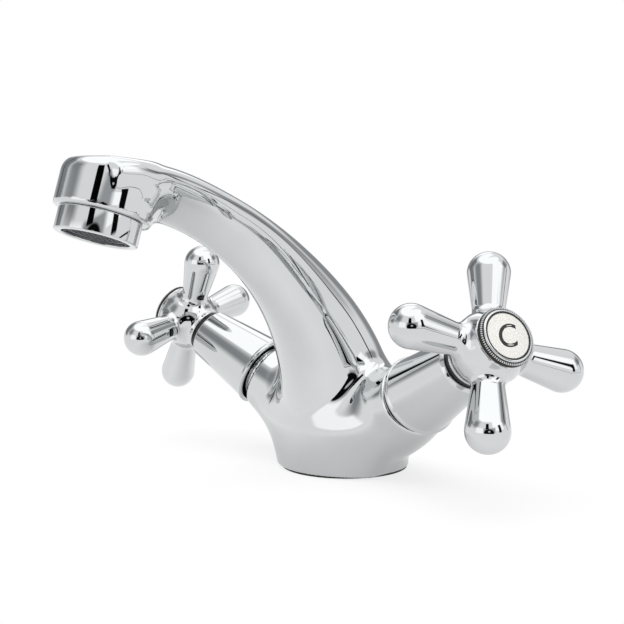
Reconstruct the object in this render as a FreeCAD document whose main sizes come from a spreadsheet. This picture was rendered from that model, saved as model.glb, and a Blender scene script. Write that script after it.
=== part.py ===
import FreeCAD, Part
import math
import os
import Sketcher

# Deck mounted basin tap with two cross handles on arms that rise to the sides and lean to the front.
# Millimetres, +Z up. The origin is the middle of the base on the deck, the spout points to -Y,
# the cold side is +X and the hot side is -X.

DOC = FreeCAD.newDocument("cross_handle_tap")
SHEET = DOC.addObject("Spreadsheet::Sheet", "Sizes")

SIZES = {
    # base on the deck
    "base_radius": 25.2, "base_height": 7.0, "base_corner": 1.2,
    "gasket_width": 5.1, "gasket_step": 0.6, "gasket_height": 0.7,
    "inlet_radius": 4.5, "inlet_along": 14.0, "inlet_top": 18.0,
    "stud_radius": 3.4, "stud_depth": 13.0, "stud_front": 12.0,
    # handle axes: where they cross, how far they rise and how far they lean to the front
    "axis_back": 7.0, "axis_height": 9.6, "axis_rise": 27.5, "axis_lean": 15.0,
    # side arms of the casting, measured along the handle axis
    "arm_root": 16.6, "arm_root_at": 4.0, "arm_waist": 16.1, "arm_waist_at": 40.0,
    "arm_neck": 14.2, "arm_neck_at": 47.8, "arm_tip": 12.3, "arm_tip_at": 50.2, "arm_end": 56.0,
    "chamber_radius": 10.45, "seat_at": 36.0, "seat_radius": 6.4, "seat_root": 10.0,
    "port_radius": 4.0, "port_height": 33.5, "port_reach": 30.0,
    # spout wall, the neck that widens to the head's width, and the head that holds the outlet
    "spout_wall": 2.6, "cavity_floor": 30.0, "neck_from": 62.0, "neck_step": 0.6,
    "outlet_front": 111.3, "outlet_height": 89.5, "outlet_tilt": 16.5,
    "head_radius": 15.6, "head_foot": 7.8, "head_length": 22.0, "head_rise": 25.9,
    "head_corner": 0.9,
    "head_room": 10.4, "head_room_height": 5.4,
    "thread_radius": 11.9, "thread_length": 6.2, "thread_fit": 0.05,
    # outlet ring, insert and washer
    "ring_radius": 13.5, "ring_corner": 0.7, "mouth_radius": 11.0, "mouth_depth": 1.2,
    "ledge_radius": 10.2, "ledge_height": 0.8, "insert_radius": 10.85, "insert_fit": 0.05,
    "insert_height": 10.0, "insert_floor": 1.2, "insert_wall": 1.0, "jet_radius": 0.8,
    "washer_inner": 8.6, "washer_height": 1.6,
    # valve inserts, measured along the handle axis
    "fibre_height": 1.0, "flange_across": 21.0, "flange_height": 6.0,
    "valve_neck": 8.5, "valve_end": 81.5, "skirt_radius": 8.6, "skirt_length": 8.0,
    "skirt_bore": 7.4, "skirt_lift": 0.3, "window_width": 6.0, "window_height": 3.4,
    "window_rise": 4.3, "seal_inner": 5.2, "seal_height": 1.6, "disc_radius": 7.1,
    "fixed_height": 3.0, "moving_height": 2.8, "disc_port": 1.8, "port_place": 3.9,
    "foot_radius": 6.9, "foot_height": 3.2, "foot_gap": 0.1, "shaft_radius": 5.0,
    "shaft_fit": 0.05, "groove_at": 58.0, "groove_width": 1.4, "seal_section": 0.55,
    "groove_radius": 3.9, "seal_play": 0.01,
    "clip_radius": 6.5, "clip_groove": 4.5, "clip_height": 1.0, "clip_play": 0.05,
    "spline_radius": 4.0, "spline_from": 84.0, "spline_end": 96.7,
    # conical cover and black slide ring
    "cover_start": 50.5, "cover_end": 82.6, "cover_big": 14.4, "cover_small": 10.6,
    "cover_wall": 0.9, "cover_lip": 5.0, "cover_bevel": 0.7, "cover_fit": 0.08,
    "slide_radius": 9.1, "slide_bore": 6.9, "slide_stand": 1.7,
    # cross handle
    "hub_centre": 95.5, "hub_radius": 12.6, "collar_radius": 9.4, "slide_gap": 0.1,
    "collar_bore": 7.2, "collar_depth": 2.2, "socket_fit": 0.05, "socket_room": 0.3,
    "web_height": 1.8, "hub_face": 104.3, "face_radius": 9.9, "face_neck": 6.0,
    "well_radius": 6.95, "arm_reach": 28.7, "bulb_radius": 7.4, "arm_taper": 7.4,
    "arm_start": 5.0, "turn_cold": -19.0, "turn_hot": -14.7,
    # screw, index ring and index disc
    "screw_shank": 2.0, "screw_head": 3.5, "screw_length": 10.5, "screw_head_height": 2.4,
    "screw_fit": 0.05, "screw_socket": 1.5, "socket_deep": 1.4,
    "index_radius": 10.2, "index_height": 3.1, "index_skirt": 3.6, "index_bore": 5.6,
    "index_fit": 0.05, "plate_radius": 8.3, "plate_sink": 1.5, "plate_height": 1.3,
    "plate_crown": 0.2, "plate_flat": 4.0,
}

# The middle line of the spout, as shares: the distance to the front of outlet_front, the height of
# outlet_height, and the radius of base_radius.
SPOUT = [
    (0.0000, 0.0559, 0.9683), (0.0108, 0.1788, 0.9524), (0.0288, 0.3017, 0.9048), (0.0593, 0.4246, 0.8413),
    (0.0934, 0.5285, 0.7778), (0.1482, 0.6402, 0.6865), (0.2147, 0.7419, 0.6032), (0.2884, 0.8324, 0.5437),
    (0.3666, 0.9128, 0.4921), (0.4564, 0.9944, 0.4444), (0.5508, 1.0659, 0.4087), (0.6190, 1.1061, 0.3929),
    (0.6909, 1.1385, 0.3810), (0.7817, 1.1687, 0.3730), (0.8625, 1.1821, 0.3710), (0.9344, 1.1844, 0.3690),
]

# The radius of the casting's own foot, inside the rubber ring.
FOOT = "base_radius - gasket_step - gasket_width"

# The two sides of the tap: +1 is cold on +X and -1 is hot on -X.
SIDES = ((1, "cold"), (-1, "hot"))


def fill_sheet():
    """Write every driving size to the sheet under its own name."""
    rows = dict(SIZES)
    for number, (front, height, radius) in enumerate(SPOUT):
        rows["spout_front_%02d" % number] = front
        rows["spout_height_%02d" % number] = height
        rows["spout_radius_%02d" % number] = radius
    for row, (alias, value) in enumerate(rows.items(), start=1):
        SHEET.set("A%d" % row, alias)
        SHEET.set("B%d" % row, str(value))
        SHEET.setAlias("B%d" % row, alias)
    DOC.recompute()


def size(alias):
    """Read one driving size back from the sheet."""
    return float(getattr(SHEET, alias))


def total(text):
    """Work out a sum of sizes such as 'seat_at + seal_height - 0.5 * ring_corner'."""
    result = 0.0
    for term in text.replace("- ", "+ -").split("+ "):
        product = 1.0
        for factor in term.split("*"):
            word = factor.strip()
            if word.startswith("-"):
                product = -product
                word = word[1:]
            product *= size(word) if word[0].isalpha() else float(word)
        result += product
    return result


def bind(text):
    """Turn a sum of sizes into an expression on the sheet."""
    return " ".join("Sizes." + word if word[0].isalpha() else word for word in text.split())


def vector(x, y, z):
    return FreeCAD.Vector(x, y, z)


def role(body, name):
    """Find one of a body's own origin planes by its role."""
    for feature in body.Origin.OriginFeatures:
        if feature.Role == name:
            return feature
    raise ValueError(name)


def turned(name, profile):
    """A piece turned on a lathe: a closed profile of (radius, height) sums, revolved about Z."""
    body = DOC.addObject("PartDesign::Body", name)
    sketch = body.newObject("Sketcher::SketchObject", name + "_profile")
    sketch.AttachmentSupport = [(role(body, "XZ_Plane"), "")]
    sketch.MapMode = "FlatFace"
    points = [vector(total(radius), total(height), 0) for radius, height in profile]
    count = len(points)
    for number in range(count):
        sketch.addGeometry(Part.LineSegment(points[number], points[(number + 1) % count]), False)
    for number in range(count):
        sketch.addConstraint(Sketcher.Constraint("Coincident", number, 2, (number + 1) % count, 1))
    for number, (radius, height) in enumerate(profile):
        if radius == "0":
            sketch.addConstraint(Sketcher.Constraint("PointOnObject", number, 1, -2))
        else:
            place = sketch.addConstraint(
                Sketcher.Constraint("DistanceX", -1, 1, number, 1, points[number].x))
            sketch.setExpression("Constraints[%d]" % place, bind(radius))
        if height == "0":
            sketch.addConstraint(Sketcher.Constraint("PointOnObject", number, 1, -1))
        else:
            place = sketch.addConstraint(
                Sketcher.Constraint("DistanceY", -1, 1, number, 1, points[number].y))
            sketch.setExpression("Constraints[%d]" % place, bind(height))
    turn = body.newObject("PartDesign::Revolution", name + "_turn")
    turn.Profile = sketch
    turn.ReferenceAxis = (sketch, ["V_Axis"])
    turn.Angle = 360
    body.Tip = turn
    return body


def cylinder(name, radius, height, place=None):
    """A plain round bar with its radius and height bound to the sheet."""
    bar = DOC.addObject("Part::Cylinder", name)
    bar.setExpression("Radius", bind(radius))
    bar.setExpression("Height", bind(height))
    if place is not None:
        bar.Placement = place
    return bar


def fused(name, pieces):
    """Several solids of one casting joined into one."""
    joined = DOC.addObject("Part::MultiFuse", name)
    joined.Shapes = pieces
    joined.Refine = False
    return joined


def cut(name, base, tools):
    """A solid with holes: one tool, or several joined first."""
    result = DOC.addObject("Part::Cut", name)
    result.Base = base
    result.Tool = tools[0] if len(tools) == 1 else fused(name + "_holes", tools)
    result.Refine = False
    return result


def axis_frame(side, turn=0.0):
    """Placement whose Z runs out along a handle axis; side is +1 for cold and -1 for hot."""
    rise = math.radians(size("axis_rise"))
    lean = math.radians(size("axis_lean"))
    out = vector(side * math.cos(rise) * math.cos(lean), -math.cos(rise) * math.sin(lean),
                 math.sin(rise))
    level = vector(-out.y, out.x, 0).normalize()
    if level.y > 0:
        level = level * -1
    upright = out.cross(level)
    if upright.z < 0:
        upright = upright * -1
    across = out.cross(upright)
    matrix = FreeCAD.Matrix(upright.x, across.x, out.x, 0, upright.y, across.y, out.y, 0,
                            upright.z, across.z, out.z, 0, 0, 0, 0, 1)
    spot = vector(0, size("axis_back"), size("axis_height"))
    spin = FreeCAD.Placement(vector(0, 0, 0), FreeCAD.Rotation(vector(0, 0, 1), turn))
    return FreeCAD.Placement(spot, FreeCAD.Rotation(matrix)).multiply(spin)


def outlet_frame():
    """Placement whose Z runs up the head's axis from the middle of the outlet's mouth."""
    spot = vector(0, -size("outlet_front"), size("outlet_height"))
    return FreeCAD.Placement(spot, FreeCAD.Rotation(vector(1, 0, 0), -size("outlet_tilt")))


def along(angle, distance, height=0.0):
    """Placement turned by an angle about Z, moved out by a distance and raised by a height."""
    spin = FreeCAD.Rotation(vector(0, 0, 1), angle)
    return FreeCAD.Placement(spin.multVec(vector(distance, 0, 0)) + vector(0, 0, height), spin)


def spout_form(name, wall, floor):
    """A loft along the spout's middle line, drawn in by a wall: round, and wider where it nears the head."""
    line = [(size("spout_front_%02d" % number) * size("outlet_front"),
             size("spout_height_%02d" % number) * size("outlet_height"),
             size("spout_radius_%02d" % number) * size("base_radius")) for number in range(len(SPOUT))]
    if floor is not None:
        first = next(number for number, (_, height, _) in enumerate(line) if height > floor)
        low = line[first - 1]
        high = line[first]
        share = (floor - low[1]) / (high[1] - low[1])
        start = tuple(low[place] + share * (high[place] - low[place]) for place in range(3))
        line = [start] + line[first + (1 if high[1] - floor < 3.0 else 0):]
    middles = [vector(0, -front, height) for front, height, _ in line]
    rings = []
    for number, middle in enumerate(middles):
        before = middles[max(number - 1, 0)]
        after = middles[min(number + 1, len(middles) - 1)]
        heading = after - before
        if number == 0:
            heading = vector(0, 0, 1)
        front, _, tall = line[number]
        share = min(max((front - size("neck_from")) / (line[-1][0] - size("neck_from")), 0.0), 1.0)
        wide = tall + (total("head_radius - neck_step") - tall) * share * share * (3 - 2 * share)
        ring = Part.Ellipse(middle, wide - wall, tall - wall)
        ring.Axis = heading
        ring.XAxis = vector(1, 0, 0)
        rings.append(Part.Wire([ring.toShape()]))
    feature = DOC.addObject("Part::Feature", name)
    feature.Shape = Part.makeLoft(rings, True, False)
    return feature


def tap_body():
    """The brass casting: base, two arms, spout and head in one piece, hollow for the water."""
    base = turned("base_form", [
        ("0", "0"), (FOOT, "0"), (FOOT, "gasket_height"),
        ("base_radius - base_corner", "gasket_height"),
        ("base_radius", "gasket_height + base_corner"), ("base_radius", "base_height"),
        ("base_radius - base_corner", "base_height + base_corner"),
        ("0", "base_height + base_corner")])
    arms = []
    holes = []
    for side, word in SIDES:
        arm = turned(word + "_arm_form", [
            ("0", "arm_root_at"), ("arm_root", "arm_root_at"), ("arm_waist", "arm_waist_at"),
            ("arm_neck", "arm_neck_at"), ("arm_tip", "arm_tip_at"), ("arm_tip", "arm_end"),
            ("0", "arm_end")])
        arm.Placement = axis_frame(side)
        arms.append(arm)
        chamber = turned(word + "_chamber", [
            ("0", "seat_root"), ("seat_radius", "seat_root"), ("seat_radius", "seat_at"),
            ("chamber_radius", "seat_at"), ("chamber_radius", "arm_end + fibre_height"),
            ("0", "arm_end + fibre_height")])
        chamber.Placement = axis_frame(side)
        foot = axis_frame(side).multVec(vector(0, 0, size("inlet_along")))
        inlet = cylinder(word + "_inlet", "inlet_radius", "inlet_top")
        inlet.Placement = FreeCAD.Placement(vector(foot.x, foot.y, 0), FreeCAD.Rotation())
        middle = axis_frame(side).multVec(vector(0, 0, size("seat_at") + size("skirt_length") / 2))
        port = cylinder(word + "_port", "port_radius", "port_reach")
        port.Placement = FreeCAD.Placement(vector(0, middle.y, size("port_height")),
                                           FreeCAD.Rotation(vector(0, 1, 0), side * 90))
        holes += [chamber, inlet, port]
    head = turned("head_form", [
        ("0", "head_foot"), ("head_radius - head_corner", "head_foot"),
        ("head_radius", "head_foot + head_corner"), ("head_radius", "head_foot + head_length"),
        ("0", "head_foot + head_length")])
    head.Placement = outlet_frame()
    outside = fused("casting_outside", [base, spout_form("spout_outside", 0.0, None), head] + arms)
    room = turned("head_room_form", [
        ("0", "mouth_depth"), ("thread_radius + thread_fit", "mouth_depth"),
        ("thread_radius + thread_fit", "head_foot + thread_length + washer_height"),
        ("head_room", "head_foot + thread_length + washer_height"),
        ("head_room", "head_foot + thread_length + washer_height + head_room_height"),
        ("0", "head_foot + thread_length + washer_height + head_room_height")])
    room.Placement = outlet_frame()
    stud = cylinder("stud_hole", "stud_radius", "stud_depth")
    stud.Placement = FreeCAD.Placement(vector(0, -size("stud_front"), 0), FreeCAD.Rotation())
    holes += [room, stud, spout_form("waterway", size("spout_wall"), size("cavity_floor"))]
    span = 4 * size("outlet_front")
    above = Part.makeBox(span, span, span, vector(-span / 2, -span, total("outlet_height + head_rise")))
    below = Part.makeBox(span, span, span, vector(-span / 2, -span / 2, size("gasket_height") - span))
    core = Part.makeCylinder(total(FOOT), size("gasket_height"))
    limits = DOC.addObject("Part::Feature", "casting_limits")
    limits.Shape = above.fuse(below.cut(core))
    return cut("tap_body", outside, holes + [limits])


def base_gasket():
    """Black rubber ring under the rim of the base, flush with the casting's own foot."""
    return turned("base_gasket", [
        (FOOT, "0"), ("base_radius - gasket_step", "0"),
        ("base_radius - gasket_step", "gasket_height"), (FOOT, "gasket_height")])


def outlet_pieces():
    """Screwed outlet ring, its insert with jet holes, and the washer above it."""
    ring = turned("aerator_ring", [
        ("mouth_radius", "0"), ("ring_radius - ring_corner", "0"), ("ring_radius", "ring_corner"),
        ("ring_radius", "head_foot"), ("thread_radius", "head_foot"),
        ("thread_radius", "head_foot + thread_length"),
        ("insert_radius + insert_fit", "head_foot + thread_length"),
        ("insert_radius + insert_fit", "mouth_depth + ledge_height"),
        ("ledge_radius", "mouth_depth + ledge_height"), ("ledge_radius", "mouth_depth"),
        ("mouth_radius", "mouth_depth")])
    cup = turned("insert_cup", [
        ("0", "mouth_depth + ledge_height"), ("insert_radius", "mouth_depth + ledge_height"),
        ("insert_radius", "mouth_depth + ledge_height + insert_height"),
        ("insert_radius - insert_wall", "mouth_depth + ledge_height + insert_height"),
        ("insert_radius - insert_wall", "mouth_depth + ledge_height + insert_floor"),
        ("0", "mouth_depth + ledge_height + insert_floor")])
    jets = []
    for circle in range(1, 4):
        for place in range(6 * circle):
            jet = cylinder("jet_%d_%02d" % (circle, place), "jet_radius", "mouth_depth + insert_height")
            jet.Placement = along(60.0 / circle * place, circle * size("ledge_radius") / 3.7)
            jets.append(jet)
    insert = cut("aerator_insert", cup, jets)
    washer = turned("aerator_washer", [
        ("washer_inner", "head_foot + thread_length"), ("thread_radius", "head_foot + thread_length"),
        ("thread_radius", "head_foot + thread_length + washer_height"),
        ("washer_inner", "head_foot + thread_length + washer_height")])
    for piece in (ring, insert, washer):
        piece.Placement = outlet_frame()
    return [ring, insert, washer]


def valve_pieces(side, word):
    """Quarter turn valve insert of one side, with its seals, discs, spindle and clip."""
    seal_top = "seat_at + seal_height"
    fixed_top = seal_top + " + fixed_height"
    moving_top = fixed_top + " + moving_height"
    foot_top = moving_top + " + foot_height"
    skirt_top = "seat_at + skirt_lift + skirt_length"
    flange_foot = "arm_end + fibre_height"
    fibre = turned(word + "_valve_washer", [
        ("chamber_radius", "arm_end"), ("arm_tip", "arm_end"), ("arm_tip", flange_foot),
        ("chamber_radius", flange_foot)])
    barrel = turned(word + "_valve_barrel", [
        ("skirt_bore", "seat_at + skirt_lift"), ("skirt_radius", "seat_at + skirt_lift"),
        ("skirt_radius", skirt_top), ("chamber_radius - thread_fit", skirt_top),
        ("chamber_radius - thread_fit", flange_foot), ("valve_neck", flange_foot),
        ("valve_neck", "valve_end"), ("shaft_radius + shaft_fit", "valve_end"),
        ("shaft_radius + shaft_fit", foot_top + " + foot_gap"),
        ("skirt_bore", foot_top + " + foot_gap")])
    hexagon = DOC.addObject("Part::Prism", word + "_valve_hexagon")
    hexagon.Polygon = 6
    hexagon.setExpression("Circumradius", "Sizes.flange_across / sqrt(3)")
    hexagon.setExpression("Height", bind("flange_height"))
    hexagon.Placement = along(0.0, 0.0, total(flange_foot))
    core = cylinder(word + "_valve_core", "valve_neck", "flange_height")
    core.Placement = hexagon.Placement
    flange = cut(word + "_valve_flange", hexagon, [core])
    window = DOC.addObject("Part::Box", word + "_valve_window")
    window.setExpression("Length", "4 * Sizes.skirt_radius")
    window.setExpression("Width", bind("window_width"))
    window.setExpression("Height", bind("window_height"))
    window.Placement = FreeCAD.Placement(
        vector(-2 * size("skirt_radius"), -size("window_width") / 2,
               size("seat_at") + size("window_rise")), FreeCAD.Rotation())
    barrel = cut(word + "_valve_body", fused(word + "_valve_outside", [barrel, flange]), [window])
    seal = turned(word + "_seat_seal", [
        ("seal_inner", "seat_at"), ("disc_radius", "seat_at"), ("disc_radius", seal_top),
        ("seal_inner", seal_top)])
    discs = []
    for name, foot, height, turn in (("fixed", seal_top, "fixed_height", 0),
                                     ("moving", fixed_top, "moving_height", 90)):
        plain = cylinder(word + "_" + name + "_blank", "disc_radius", height)
        ports = []
        for half in (0, 180):
            port = cylinder("%s_%s_port_%d" % (word, name, half), "disc_port", height)
            port.Placement = along(turn + half, size("port_place"))
            ports.append(port)
        disc = cut(word + "_" + name + "_disc", plain, ports)
        discs.append((disc, total(foot)))
    spindle = turned(word + "_spindle", [
        ("0", moving_top), ("foot_radius", moving_top), ("foot_radius", foot_top),
        ("shaft_radius", foot_top), ("shaft_radius", "groove_at"), ("groove_radius", "groove_at"),
        ("groove_radius", "groove_at + groove_width"), ("shaft_radius", "groove_at + groove_width"),
        ("shaft_radius", "valve_end"), ("clip_groove", "valve_end"),
        ("clip_groove", "valve_end + clip_height + 2 * clip_play"),
        ("shaft_radius", "valve_end + clip_height + 2 * clip_play"),
        ("shaft_radius", "spline_from"), ("spline_radius", "spline_from"),
        ("spline_radius", "spline_end"), ("screw_shank + screw_fit", "spline_end"),
        ("screw_shank + screw_fit", "spline_end + socket_room + web_height - screw_length - socket_room"),
        ("0", "spline_end + socket_room + web_height - screw_length - socket_room")])
    ring = DOC.addObject("Part::Torus", word + "_spindle_seal")
    ring.setExpression("Radius1", bind("groove_radius + seal_section + seal_play"))
    ring.setExpression("Radius2", bind("seal_section"))
    clip = turned(word + "_spindle_clip", [
        ("clip_groove + clip_play", "valve_end + clip_play"), ("clip_radius", "valve_end + clip_play"),
        ("clip_radius", "valve_end + clip_play + clip_height"),
        ("clip_groove + clip_play", "valve_end + clip_play + clip_height")])
    frame = axis_frame(side)
    for piece in (fibre, barrel, seal, spindle, clip):
        piece.Placement = frame
    for disc, height in discs:
        disc.Placement = frame.multiply(along(0.0, 0.0, height))
    ring.Placement = frame.multiply(along(0.0, 0.0, total("groove_at + 0.5 * groove_width")))
    return [fibre, barrel, seal, discs[0][0], discs[1][0], spindle, ring, clip]


def cover_pieces(side, word):
    """Conical chromed cover over the valve insert, and the black slide ring on its small end."""
    cover = turned(word + "_cover", [
        ("cover_big - cover_wall", "cover_start"), ("cover_big", "cover_start"),
        ("cover_small", "cover_end"), ("cover_small - cover_bevel", "cover_end + cover_bevel"),
        ("valve_neck + cover_fit", "cover_end + cover_bevel"),
        ("valve_neck + cover_fit", "cover_end - cover_lip"),
        ("cover_small - cover_wall", "cover_end - cover_lip")])
    slide = turned(word + "_slide_ring", [
        ("slide_bore", "valve_end"), ("valve_neck", "valve_end"),
        ("valve_neck", "cover_end + cover_bevel"), ("slide_radius", "cover_end + cover_bevel"),
        ("slide_radius", "cover_end + cover_bevel + slide_stand"),
        ("slide_bore", "cover_end + cover_bevel + slide_stand")])
    for piece in (cover, slide):
        piece.Placement = axis_frame(side)
    return [cover, slide]


def handle_pieces(side, word):
    """Cast cross handle with its screw, the knurled index ring and the index plate."""
    foot = "cover_end + cover_bevel + slide_stand + slide_gap"
    web = "spline_end + socket_room"
    ball = DOC.addObject("Part::Sphere", word + "_hub_ball")
    ball.setExpression("Radius", bind("hub_radius"))
    ball.Placement = along(0.0, 0.0, size("hub_centre"))
    slab = cylinder(word + "_hub_slab", "2 * hub_radius",
                    "hub_face - cover_end - cover_bevel - slide_stand - slide_gap")
    slab.Placement = along(0.0, 0.0, total(foot))
    hub = DOC.addObject("Part::Common", word + "_hub_form")
    hub.Base = ball
    hub.Tool = slab
    stem = turned(word + "_hub_stem", [
        ("0", foot), ("collar_radius", foot), ("collar_radius", "hub_centre"),
        ("face_radius", "hub_face - face_neck"), ("face_radius", "hub_face"), ("0", "hub_face")])
    slope = math.radians(size("arm_taper"))
    tip_at = size("arm_reach") - size("bulb_radius") * math.sin(slope)
    tip = size("bulb_radius") * math.cos(slope)
    root = tip - (tip_at - size("arm_start")) * math.tan(slope)
    arms = []
    for number in range(4):
        spin = FreeCAD.Rotation(vector(0, 0, 1), 90 * number)
        lay = spin.multiply(FreeCAD.Rotation(vector(0, 1, 0), 90))
        bar = DOC.addObject("Part::Cone", "%s_arm_bar_%d" % (word, number))
        bar.Radius1 = root
        bar.Radius2 = tip
        bar.Height = tip_at - size("arm_start")
        reach = spin.multVec(vector(size("arm_start"), 0, 0))
        bar.Placement = FreeCAD.Placement(reach + vector(0, 0, size("hub_centre")), lay)
        bulb = DOC.addObject("Part::Sphere", "%s_arm_bulb_%d" % (word, number))
        bulb.setExpression("Radius", bind("bulb_radius"))
        bulb.Placement = along(90.0 * number, size("arm_reach"), size("hub_centre"))
        arms += [bar, bulb]
    bore = turned(word + "_hub_bore", [
        ("0", foot), ("collar_bore", foot), ("collar_bore", foot + " + collar_depth"),
        ("spline_radius + socket_fit", foot + " + collar_depth"),
        ("spline_radius + socket_fit", web), ("screw_shank + screw_fit", web),
        ("screw_shank + screw_fit", web + " + web_height"),
        ("well_radius", web + " + web_height"), ("well_radius", "hub_face"), ("0", "hub_face")])
    handle = cut(word + "_handle", fused(word + "_hub_and_arms", [hub, stem] + arms), [bore])
    screw = turned(word + "_handle_screw", [
        ("0", web + " + web_height - screw_length"),
        ("screw_shank", web + " + web_height - screw_length"), ("screw_shank", web + " + web_height"),
        ("screw_head", web + " + web_height"), ("screw_head", web + " + web_height + screw_head_height"),
        ("screw_socket", web + " + web_height + screw_head_height"),
        ("screw_socket", web + " + web_height + screw_head_height - socket_deep"),
        ("0", web + " + web_height + screw_head_height - socket_deep")])
    ring = turned(word + "_index_ring", [
        ("index_bore", "hub_face - index_skirt"), ("well_radius - index_fit", "hub_face - index_skirt"),
        ("well_radius - index_fit", "hub_face"), ("index_radius", "hub_face"),
        ("index_radius", "hub_face + index_height"),
        ("plate_radius + index_fit", "hub_face + index_height"),
        ("plate_radius + index_fit", "hub_face + index_height - plate_sink"),
        ("index_bore", "hub_face + index_height - plate_sink")])
    plate_foot = "hub_face + index_height - plate_sink"
    plate = turned(word + "_index_plate", [
        ("0", plate_foot), ("plate_radius", plate_foot), ("plate_radius", plate_foot + " + plate_height"),
        ("plate_flat", plate_foot + " + plate_height + plate_crown"),
        ("0", plate_foot + " + plate_height + plate_crown")])
    frame = axis_frame(side, size("turn_" + word))
    for piece in (handle, screw, ring, plate):
        piece.Placement = frame
    return [handle, screw, ring, plate]


def failures():
    """Every document object whose state or shape is wrong."""
    wrong = []
    for item in DOC.Objects:
        if "Invalid" in item.State or "Error" in item.State:
            wrong.append(item.Name + " " + " ".join(item.State))
    for item in NODES:
        if item.Shape.isNull() or not item.Shape.isValid():
            wrong.append(item.Label + " has no valid shape")
    return wrong


fill_sheet()
NODES = [tap_body(), base_gasket()] + outlet_pieces()
for hand, side_word in SIDES:
    NODES += valve_pieces(hand, side_word) + cover_pieces(hand, side_word)
    NODES += handle_pieces(hand, side_word)
DOC.recompute()
problems = failures()
if problems:
    raise RuntimeError("; ".join(problems))
os.makedirs("parts", exist_ok=True)
for node in NODES:
    node.Shape.exportStep("parts/%s.step" % node.Label)
    print("%-22s solids %d volume %.1f" % (node.Label, len(node.Shape.Solids), node.Shape.Volume))
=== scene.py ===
import math

import bpy
import numpy as np
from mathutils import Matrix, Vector


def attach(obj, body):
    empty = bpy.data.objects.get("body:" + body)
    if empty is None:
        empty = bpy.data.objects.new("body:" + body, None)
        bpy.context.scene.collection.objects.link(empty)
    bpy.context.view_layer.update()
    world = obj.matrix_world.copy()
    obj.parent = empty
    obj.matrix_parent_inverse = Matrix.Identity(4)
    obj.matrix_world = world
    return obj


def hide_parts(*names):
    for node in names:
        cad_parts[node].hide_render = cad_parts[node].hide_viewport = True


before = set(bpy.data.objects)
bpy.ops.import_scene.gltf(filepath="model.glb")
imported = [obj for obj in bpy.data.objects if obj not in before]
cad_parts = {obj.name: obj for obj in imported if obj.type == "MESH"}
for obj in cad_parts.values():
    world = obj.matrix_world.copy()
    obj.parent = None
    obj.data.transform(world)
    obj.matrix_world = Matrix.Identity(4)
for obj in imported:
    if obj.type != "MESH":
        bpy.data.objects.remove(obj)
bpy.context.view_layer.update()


# ---------------------------------------------------------------- base gasket
# The thin ring of EPDM rubber that seals the tap to the basin. It is punched
# from sheet and lies under the rim of the casting, where it shows as a black line.

def linear(code):
    """Turn an sRGB hex colour such as #D4D6D8 into linear RGBA."""
    parts = [int(code[at:at + 2], 16) / 255 for at in (1, 3, 5)]
    return [c / 12.92 if c < 0.04045 else ((c + 0.055) / 1.055) ** 2.4 for c in parts] + [1.0]


def add_node(tree, kind, settings=(), sockets=()):
    """Add a shader node with its settings, and with values or links for its sockets."""
    made = tree.nodes.new(kind)
    for name, value in dict(settings).items():
        setattr(made, name, value)
    for name, value in dict(sockets).items():
        if isinstance(value, bpy.types.NodeSocket):
            tree.links.new(value, made.inputs[name])
        else:
            made.inputs[name].default_value = value
    return made


def finish_tree(name):
    """Start a material: return it, its tree, its main shader and the place of a point."""
    material = bpy.data.materials.new(name)
    material.use_nodes = True
    tree = material.node_tree
    tree.nodes.clear()
    shader = add_node(tree, "ShaderNodeBsdfPrincipled")
    add_node(tree, "ShaderNodeOutputMaterial", sockets={"Surface": shader.outputs["BSDF"]})
    place = add_node(tree, "ShaderNodeTexCoord").outputs["Object"]
    return material, tree, shader, place


def grained(tree, shader, place, grain, detail, dark, light):
    """Colour a finish between two shades, with a grain in millimetres, and return its pattern."""
    noise = add_node(tree, "ShaderNodeTexNoise", sockets={
        "Vector": place, "Scale": 1000 / grain, "Detail": detail})
    shade = add_node(tree, "ShaderNodeMix", {"data_type": "RGBA"}, {
        "Factor": noise.outputs["Fac"], 6: linear(dark), 7: linear(light)})
    tree.links.new(shade.outputs[2], shader.inputs["Base Color"])
    return noise.outputs["Fac"]


def rounded(profile, bevel):
    """Round the corners of a profile of (radius, height) points with small arcs."""
    points = []
    for at, corner in enumerate(profile):
        corner = np.array(corner, float)
        before = np.array(profile[at - 1], float) - corner
        after = np.array(profile[(at + 1) % len(profile)], float) - corner
        size = min(bevel, np.linalg.norm(before) * 0.45, np.linalg.norm(after) * 0.45)
        if corner[0] == 0:
            points.append(corner)
            continue
        start = corner + before / np.linalg.norm(before) * size
        end = corner + after / np.linalg.norm(after) * size
        for share in np.linspace(0, 1, 6):
            points.append((1 - share) ** 2 * start + 2 * share * (1 - share) * corner + share ** 2 * end)
    return points


def piece(name, vertices, faces, material, place=None):
    """Make a smooth mesh object from points in millimetres, placed by (origin, x, y, z)."""
    points = np.array(vertices, float)
    if place is not None:
        origin, x, y, z = place
        points = origin + points[:, :1] * x + points[:, 1:2] * y + points[:, 2:3] * z
    mesh = bpy.data.meshes.new(name)
    mesh.from_pydata((points / 1000).tolist(), [], faces)
    mesh.materials.append(material)
    mesh.shade_smooth()
    thing = bpy.data.objects.new(name, mesh)
    bpy.context.scene.collection.objects.link(thing)
    return thing


def lathed(name, profile, material, place=None, bevel=0.25, steps=128):
    """Turn a closed profile of (radius, height) points round the local Z axis."""
    line = rounded(profile, bevel)
    count = len(line)
    turn = np.linspace(0, 2 * math.pi, steps, endpoint=False)
    vertices = [(r * math.cos(a), r * math.sin(a), h) for a in turn for r, h in line]
    faces = []
    for ring in range(steps):
        here, there = ring * count, (ring + 1) % steps * count
        for at in range(count):
            after = (at + 1) % count
            if line[at][0] == 0 and line[after][0] == 0:
                continue
            faces.append((here + at, there + at, there + after, here + after))
    thing = piece(name, vertices, faces, material, place)
    cleaner = thing.modifiers.new("weld", "WELD")
    cleaner.merge_threshold = 1e-6
    thing.data.set_sharp_from_angle(angle=math.radians(50))
    return thing


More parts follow.
